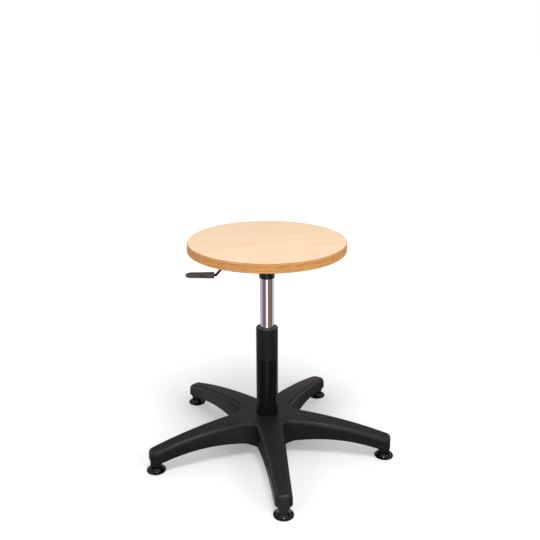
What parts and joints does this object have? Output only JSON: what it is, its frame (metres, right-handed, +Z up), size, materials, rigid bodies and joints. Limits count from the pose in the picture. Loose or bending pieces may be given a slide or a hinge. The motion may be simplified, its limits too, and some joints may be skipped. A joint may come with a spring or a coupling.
{
  "type": "machinist stool",
  "caption": "Low workshop stool with a round plywood seat on a gas lift with a release lever, a moulded star base and swivelling glides",
  "frame": {"origin": "on the floor, on the axis of the column", "axes": "+Z is up through the seat; the release lever points along -X; -Y is towards the camera of the picture"},
  "size_m": [0.5624, 0.5562, 0.505],
  "materials": {
    "base_nylon": "textured",
    "tube_black": "satin",
    "lift_chrome": "polished",
    "birch_ply": "satin lacquer",
    "glide_black": "gloss",
    "frame_black": "semi-gloss",
    "plain_steel": "ground",
    "zinc_steel": "zinc plated",
    "bush_acetal": "smooth",
    "inner_aluminium": "machined",
    "valve_plastic": "smooth",
    "cage_brass": "pressed",
    "seal_rubber": "matt",
    "grip_black": "fine texture"
  },
  "bodies": {
    "base": {"star_base": "base_nylon", "column_tube": "tube_black", "guide_bush": "bush_acetal", "tube_end_disc": "plain_steel", "bearing_lower_washer": "plain_steel", "grip_rings": "zinc_steel"},
    "lift_rod": {"piston_rod": "plain_steel", "piston": "inner_aluminium", "piston_ring": "seal_rubber", "bearing_upper_washer": "plain_steel", "rubber_buffer": "seal_rubber", "clip_washer": "plain_steel", "rod_clip": "plain_steel"},
    "bearing_cage": {"ball_cage": "cage_brass", "bearing_balls": "plain_steel"},
    "seat": {"pressure_tube": "lift_chrome", "inner_cylinder": "plain_steel", "rod_guide": "inner_aluminium", "rod_seal": "seal_rubber", "valve_body": "valve_plastic", "taper_socket": "frame_black", "seat_plate": "frame_black", "seat_disc": "birch_ply", "seat_screws": "zinc_steel", "lever_bracket": "frame_black", "lever_pin": "zinc_steel", "pin_clip": "zinc_steel"},
    "release_pin": {"release_button": "plain_steel"},
    "lever": {"lever_yoke": "grip_black", "lever_rod": "frame_black", "lever_grip": "grip_black"},
    "glide_1": {"glide_foot_1": "glide_black", "glide_stem_1": "zinc_steel"},
    "glide_2": {"glide_foot_2": "glide_black", "glide_stem_2": "zinc_steel"},
    "glide_3": {"glide_foot_3": "glide_black", "glide_stem_3": "zinc_steel"},
    "glide_4": {"glide_foot_4": "glide_black", "glide_stem_4": "zinc_steel"},
    "glide_5": {"glide_foot_5": "glide_black", "glide_stem_5": "zinc_steel"}
  },
  "joints": [
    {"name": "seat_swivel", "type": "hinge", "parent": "base", "child": "lift_rod", "pos_m": [0, 0, 0], "axis": [0, 0, 1], "continuous": true},
    {"name": "seat_height", "type": "slide", "parent": "lift_rod", "child": "seat", "axis": [0, 0, 1], "range_m": [-0.1, 0]},
    {"name": "bearing_roll", "type": "hinge", "parent": "base", "child": "bearing_cage", "pos_m": [0, 0, 0.04], "axis": [0, 0, 1], "continuous": true},
    {"name": "lever_lift", "type": "hinge", "parent": "seat", "child": "lever", "pos_m": [-0.032, 0, 0.473], "axis": [0, 1, 0], "range_deg": [0, 5.4]},
    {"name": "release_press", "type": "slide", "parent": "seat", "child": "release_pin", "axis": [0, 0, 1], "range_m": [-0.0032, 0], "stiffness_N_per_m": 1500},
    {"name": "glide_1_swivel", "type": "hinge", "parent": "base", "child": "glide_1", "pos_m": [0.03256, -0.27307, 0], "axis": [0, 0, 1], "continuous": true},
    {"name": "glide_2_swivel", "type": "hinge", "parent": "base", "child": "glide_2", "pos_m": [0.26976, -0.05341, 0], "axis": [0, 0, 1], "continuous": true},
    {"name": "glide_3_swivel", "type": "hinge", "parent": "base", "child": "glide_3", "pos_m": [0.13416, 0.24005, 0], "axis": [0, 0, 1], "continuous": true},
    {"name": "glide_4_swivel", "type": "hinge", "parent": "base", "child": "glide_4", "pos_m": [-0.18685, 0.20178, 0], "axis": [0, 0, 1], "continuous": true},
    {"name": "glide_5_swivel", "type": "hinge", "parent": "base", "child": "glide_5", "pos_m": [-0.24964, -0.11535, 0], "axis": [0, 0, 1], "continuous": true}
  ],
  "couplings": [
    {"joint": "bearing_roll", "follows": "seat_swivel", "ratio": 0.5},
    {"joint": "release_press", "follows": "lever_lift", "m_per_rad": -0.032}
  ]
}
